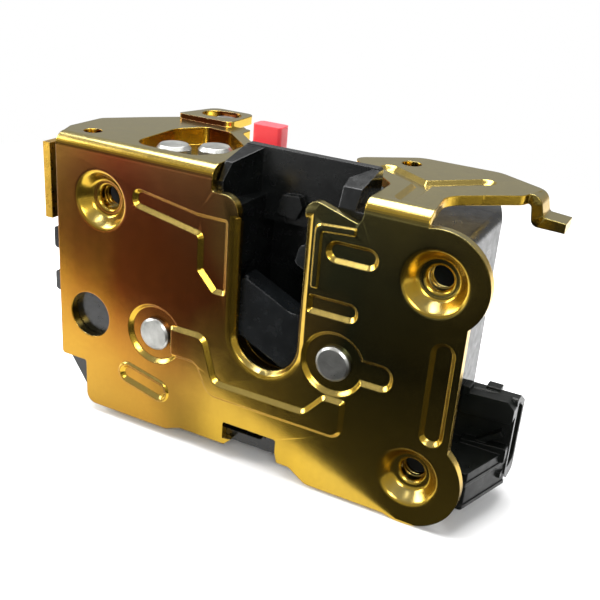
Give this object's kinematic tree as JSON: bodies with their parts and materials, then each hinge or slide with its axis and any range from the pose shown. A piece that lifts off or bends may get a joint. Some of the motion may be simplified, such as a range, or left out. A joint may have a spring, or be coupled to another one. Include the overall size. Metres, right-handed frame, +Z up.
{
  "type": "door latch actuator",
  "caption": "Door latch with a striker slot in a pressed face plate, a claw and pawl behind it, and a moulded lock actuator case with motor, gears and plug socket.",
  "frame": {"origin": "centre of the latched striker bar in the plane of the face plate's front", "axes": "+X along the face plate to the plug socket side, +Y into the door, +Z up along the striker slot to its mouth"},
  "size_m": [0.1132, 0.0485, 0.0705],
  "materials": {
    "plate_zinc": "yellow chromate over zinc plate, satin, iridescent from brown to yellow",
    "rivet_steel": "bright zinc plated, turned and upset heads",
    "lever_zinc": "yellow chromate over zinc plate, blanked edges",
    "claw_steel": "hardened steel, fine blanked",
    "claw_plastic": "black injection moulded polyester, semi gloss",
    "housing_plastic": "black acetal, moulded, semi gloss",
    "case_plastic": "dark grey glass filled polymer, fine eroded grain",
    "cover_plastic": "dark grey glass filled polymer, fine eroded grain",
    "connector_plastic": "black polyamide",
    "rubber_black": "moulded rubber, matt",
    "red_plastic": "pink red acetal, semi gloss",
    "white_acetal": "natural acetal, waxy",
    "motor_steel": "drawn and zinc plated can",
    "motor_cap": "black polyamide",
    "screw_steel": "zinc plated screw",
    "spring_steel": "patented spring wire",
    "tin_brass": "tinned brass terminals",
    "switch_plastic": "moulded switch body"
  },
  "bodies": {
    "latch_frame": {"face_plate": "plate_zinc", "back_plate": "lever_zinc", "claw_rivet": "rivet_steel", "pawl_rivet": "rivet_steel", "latch_housing": "housing_plastic", "striker_bumper": "rubber_black", "lever_pivot": "rivet_steel", "inside_lever_rivet": "rivet_steel", "child_lever_rivet": "rivet_steel", "lock_lever_rivet": "rivet_steel", "actuator_housing": "case_plastic", "actuator_cover": "cover_plastic", "cover_screws": "screw_steel", "connector_shroud": "connector_plastic", "connector_pins": "tin_brass", "wheel_spindle": "rivet_steel", "motor_can": "motor_steel", "motor_end_cap": "motor_cap", "door_ajar_switch": "switch_plastic", "lock_state_switch": "switch_plastic", "claw_spring": "spring_steel", "pawl_spring": "spring_steel"},
    "claw": {"claw_core": "claw_steel", "claw_cover": "claw_plastic"},
    "pawl": {"pawl": "claw_steel", "release_pin": "rivet_steel"},
    "outer_lever": {"outer_release_lever": "lever_zinc"},
    "inside_lever": {"inside_release_lever": "lever_zinc"},
    "child_lever": {"child_lock_lever": "red_plastic"},
    "lock_lever": {"lock_lever": "lever_zinc"},
    "drive_wheel": {"drive_wheel": "white_acetal"},
    "motor_rotor": {"motor_pinion": "tin_brass", "motor_shaft": "rivet_steel"},
    "lock_rack": {"lock_rack": "white_acetal"}
  },
  "joints": [
    {"name": "claw_turn", "type": "hinge", "parent": "latch_frame", "child": "claw", "pos_m": [0.0162, 0.0056, -0.0007], "axis": [0, -1, 0], "range_deg": [0, 45], "stiffness_Nm_per_rad": 0.3, "deforming": ["claw_spring"]},
    {"name": "pawl_turn", "type": "hinge", "parent": "latch_frame", "child": "pawl", "pos_m": [-0.0277, 0.006, -0.0065], "axis": [0, -1, 0], "range_deg": [0, 11.2], "stiffness_Nm_per_rad": 0.2, "springref_deg": 11.17, "deforming": ["pawl_spring"]},
    {"name": "outer_lever_turn", "type": "hinge", "parent": "latch_frame", "child": "outer_lever", "pos_m": [-0.047, 0.0122, 0.004], "axis": [0, -1, 0], "range_deg": [-7.8, 0]},
    {"name": "inside_lever_turn", "type": "hinge", "parent": "latch_frame", "child": "inside_lever", "pos_m": [-0.0306, 0.0108, 0.0284], "axis": [0, 0, -1], "range_deg": [0, 20], "stiffness_Nm_per_rad": 0.05},
    {"name": "child_lever_turn", "type": "hinge", "parent": "latch_frame", "child": "child_lever", "pos_m": [-0.023, 0.0156, 0.0284], "axis": [0, 0, -1], "range_deg": [0, 12]},
    {"name": "wheel_turn", "type": "hinge", "parent": "latch_frame", "child": "drive_wheel", "pos_m": [0.0239, 0.0182, -0.004], "axis": [0, 1, 0], "range_deg": [0, 84]},
    {"name": "motor_turn", "type": "hinge", "parent": "latch_frame", "child": "motor_rotor", "pos_m": [0.0239, 0.0182, 0.01105], "axis": [0, 1, 0], "range_deg": [-277, 0]},
    {"name": "rack_slide", "type": "slide", "parent": "latch_frame", "child": "lock_rack", "axis": [-1, 0, 0], "range_m": [0, 0.006]},
    {"name": "lock_lever_turn", "type": "hinge", "parent": "latch_frame", "child": "lock_lever", "pos_m": [-0.0345, 0.0383, 0.0254], "axis": [0, 0, 1], "range_deg": [-21.6, 0]}
  ],
  "couplings": [
    {"joint": "outer_lever_turn", "follows": "pawl_turn", "ratio": -0.6887},
    {"joint": "motor_turn", "follows": "rack_slide", "rad_per_m": -785.71},
    {"joint": "wheel_turn", "follows": "rack_slide", "rad_per_m": 238.1},
    {"joint": "lock_lever_turn", "follows": "rack_slide", "rad_per_m": -61.143}
  ]
}
